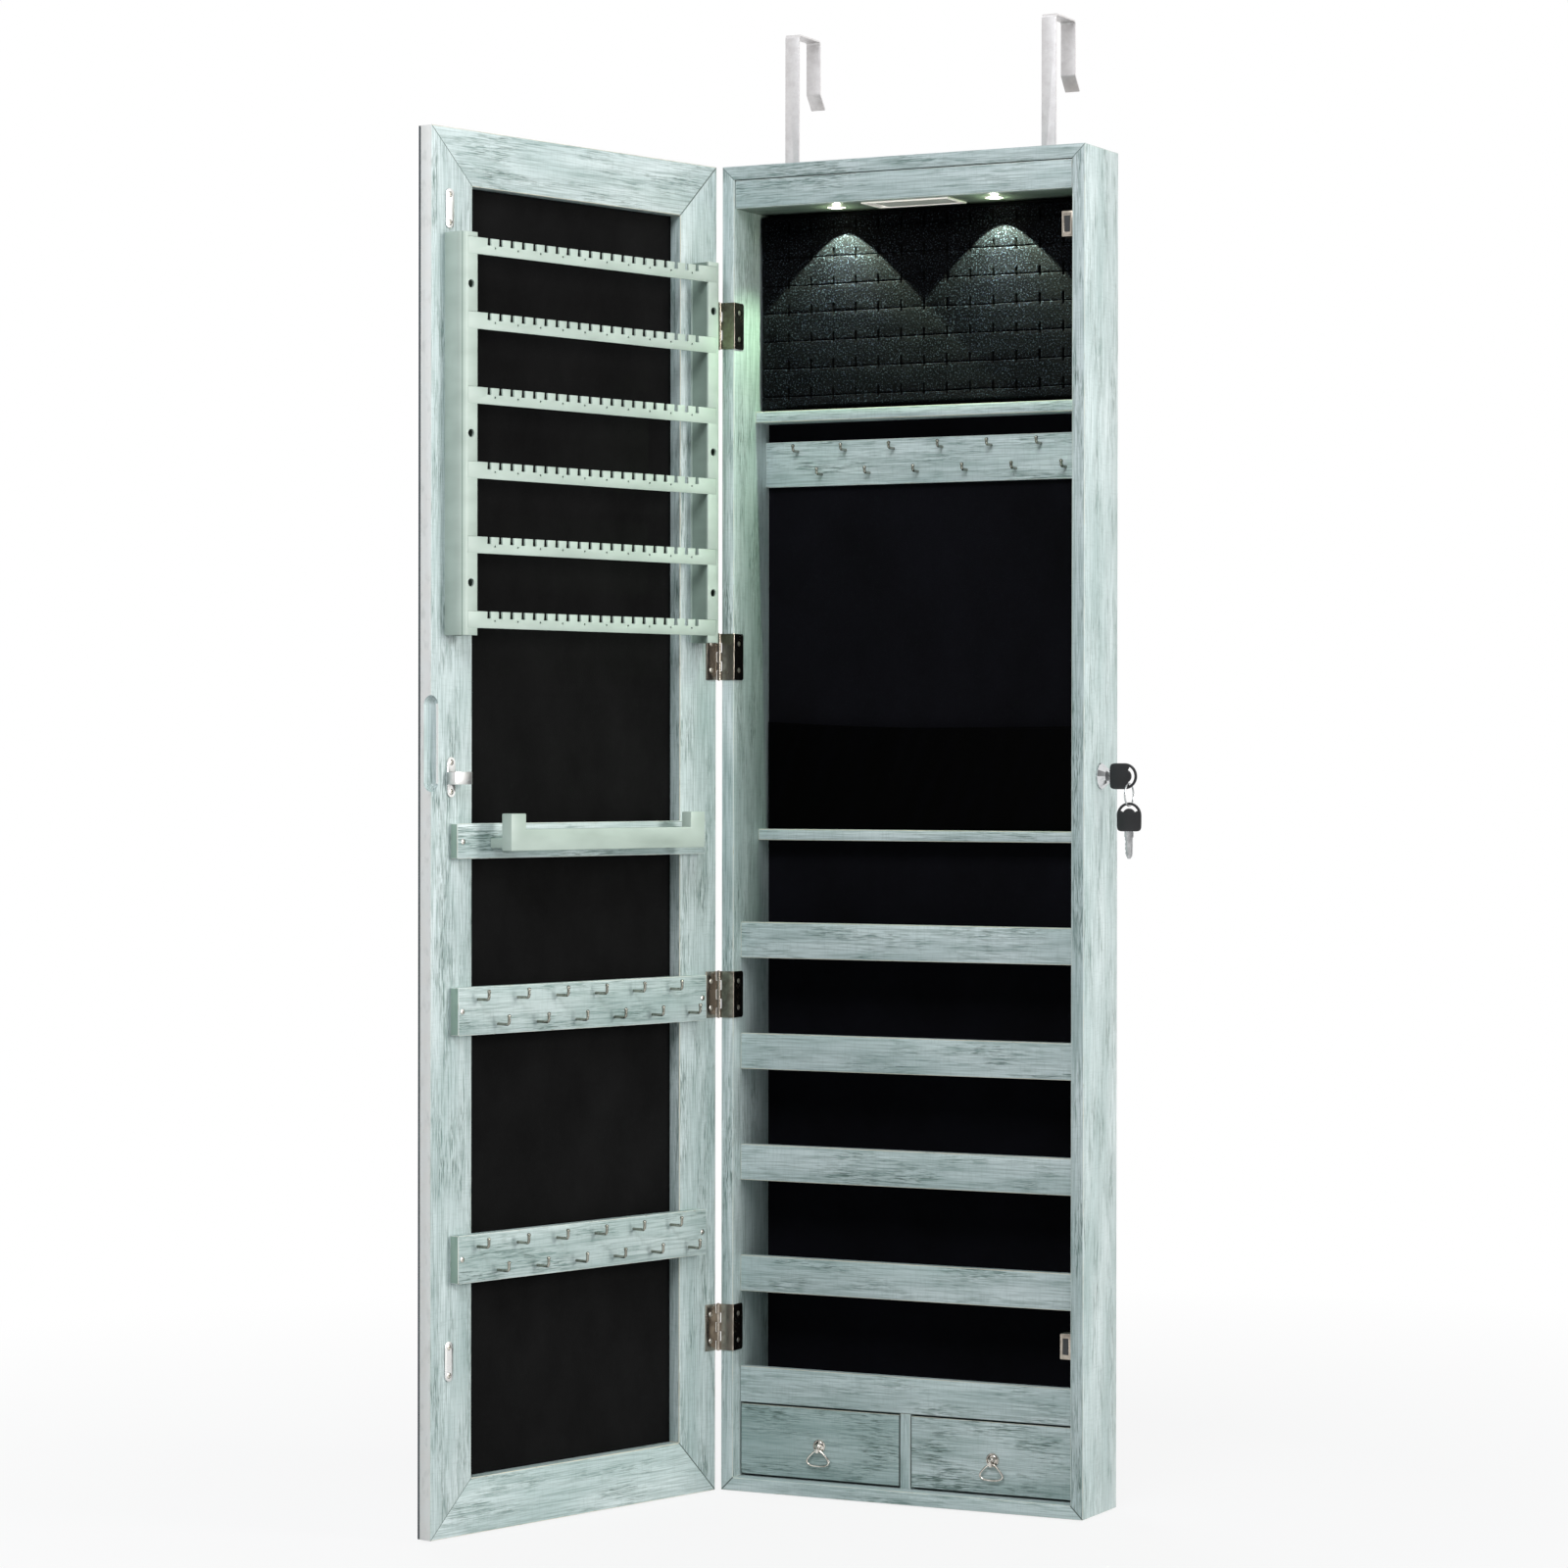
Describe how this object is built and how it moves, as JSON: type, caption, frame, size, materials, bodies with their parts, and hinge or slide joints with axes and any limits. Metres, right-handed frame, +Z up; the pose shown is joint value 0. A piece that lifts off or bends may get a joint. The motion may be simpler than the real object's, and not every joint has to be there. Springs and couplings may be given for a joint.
{
  "type": "jewelry mirror cabinet",
  "caption": "Tall shallow lockable jewelry cabinet that hangs over a door, with a full-length mirror door, ring cushion, hooks, earring rack, guarded shelves and small drawers.",
  "frame": {"origin": "on the back plane, half way across the width, at the bottom edge", "axes": "+Z up, +X towards the lock side, +Y out of the back towards the wall or door that it hangs on"},
  "size_m": [0.5057, 0.4762, 1.329],
  "materials": {
    "cabinet_board": "weathered sea-foam laminate, satin",
    "door_board": "weathered sea-foam laminate, satin",
    "rail_board": "weathered sea-foam laminate, satin",
    "drawer_board": "weathered sea-foam laminate, satin",
    "shelf_board": "weathered sea-foam laminate, satin",
    "back_board": "bare hardboard",
    "cabinet_velvet": "black velvet",
    "door_velvet": "black velvet",
    "ring_cushion": "black velvet over foam",
    "pocket_cloth": "black velvet with a slight sheen",
    "drawer_tray": "black flocked",
    "lamp_bezel": "silver plated plastic",
    "lamp_lens": "clear lens",
    "silver_plastic": "silver painted plastic",
    "battery_can": "plain can",
    "nickel_hook": "bright nickel",
    "pull_metal": "bright nickel",
    "catch_metal": "satin",
    "magnet": "matt grey",
    "hinge_nickel": "polished nickel",
    "screw_metal": "bright zinc",
    "mirror_glass": "silvered float glass",
    "strike_steel": "zinc plated",
    "satin_plastic": "sage satin",
    "lock_chrome": "polished chrome",
    "key_nickel": "polished nickel",
    "ring_steel": "polished steel",
    "strap_steel": "brushed stainless"
  },
  "bodies": {
    "cabinet": {"left_side_board": "cabinet_board", "right_side_board": "cabinet_board", "top_board": "cabinet_board", "bottom_board": "cabinet_board", "back_panel": "back_board", "back_lining": "cabinet_velvet", "valance": "cabinet_board", "light_soffit": "cabinet_board", "lamp_bezels": "lamp_bezel", "lamp_lenses": "lamp_lens", "battery_tray": "silver_plastic", "battery_cells": "battery_can", "ring_cushion": "ring_cushion", "upper_shelf": "shelf_board", "middle_shelf": "shelf_board", "necklace_hook_board": "shelf_board", "necklace_hooks": "nickel_hook", "velvet_pocket": "pocket_cloth", "guard_rails": "rail_board", "drawer_rail": "rail_board", "bay_floors": "shelf_board", "drawer_divider": "rail_board", "catch_housings": "catch_metal", "catch_magnets": "magnet", "hinge_frame_leaves": "hinge_nickel", "hinge_pins": "hinge_nickel", "cabinet_screws": "screw_metal", "lock_barrel": "lock_chrome", "lock_nut": "lock_chrome", "over_door_straps": "strap_steel"},
    "door": {"hinge_stile": "door_board", "free_stile": "door_board", "door_top_rail": "door_board", "door_bottom_rail": "door_board", "velvet_panel": "door_velvet", "mirror_glass": "mirror_glass", "hinge_door_leaves": "hinge_nickel", "door_screws": "screw_metal", "strike_plates": "strike_steel", "latch_bracket": "strike_steel", "earring_posts": "satin_plastic", "earring_bars": "satin_plastic", "bracelet_base": "door_board", "bracelet_bar": "satin_plastic", "door_hook_boards": "door_board", "door_hooks": "nickel_hook"},
    "left_drawer": {"left_drawer_front": "drawer_board", "left_drawer_tray": "drawer_tray", "left_pull_rosette": "pull_metal"},
    "right_drawer": {"right_drawer_front": "drawer_board", "right_drawer_tray": "drawer_tray", "right_pull_rosette": "pull_metal"},
    "left_pull": {"left_pull_ring": "pull_metal"},
    "right_pull": {"right_pull_ring": "pull_metal"},
    "lock_core": {"lock_plug": "lock_chrome", "lock_cam": "strike_steel", "door_key": "key_nickel"},
    "key_loop": {"key_ring": "ring_steel"},
    "spare": {"spare_key": "key_nickel"},
    "battery_lid": {"battery_cover": "silver_plastic"}
  },
  "joints": [
    {"name": "door_swing", "type": "hinge", "parent": "cabinet", "child": "door", "pos_m": [-0.1802, -0.0775, 0.6], "axis": [0, 0, -1], "range_deg": [-104.97, 75]},
    {"name": "left_drawer_slide", "type": "slide", "parent": "cabinet", "child": "left_drawer", "axis": [0, -1, 0], "range_m": [0, 0.045]},
    {"name": "right_drawer_slide", "type": "slide", "parent": "cabinet", "child": "right_drawer", "axis": [0, -1, 0], "range_m": [0, 0.045]},
    {"name": "left_pull_lift", "type": "hinge", "parent": "left_drawer", "child": "left_pull", "pos_m": [-0.0855, -0.0647, 0.0406], "axis": [-1, 0, 0], "range_deg": [0, 85]},
    {"name": "right_pull_lift", "type": "hinge", "parent": "right_drawer", "child": "right_pull", "pos_m": [0.0855, -0.0647, 0.0406], "axis": [-1, 0, 0], "range_deg": [0, 85]},
    {"name": "lock_turn", "type": "hinge", "parent": "cabinet", "child": "lock_core", "pos_m": [0.178, -0.0376, 0.6487], "axis": [-1, 0, 0], "range_deg": [0, 90]},
    {"name": "key_ring_swing", "type": "hinge", "parent": "lock_core", "child": "key_loop", "pos_m": [0.20468, -0.0376, 0.64241], "axis": [1, 0, 0], "range_deg": [-25, 25]},
    {"name": "spare_key_swing", "type": "hinge", "parent": "key_loop", "child": "spare", "pos_m": [0.20468, -0.0376, 0.62261], "axis": [0, -1, 0], "range_deg": [-20, 45]},
    {"name": "battery_lid_slide", "type": "slide", "parent": "cabinet", "child": "battery_lid", "axis": [-1, 0, 0], "range_m": [0, 0.006]}
  ]
}
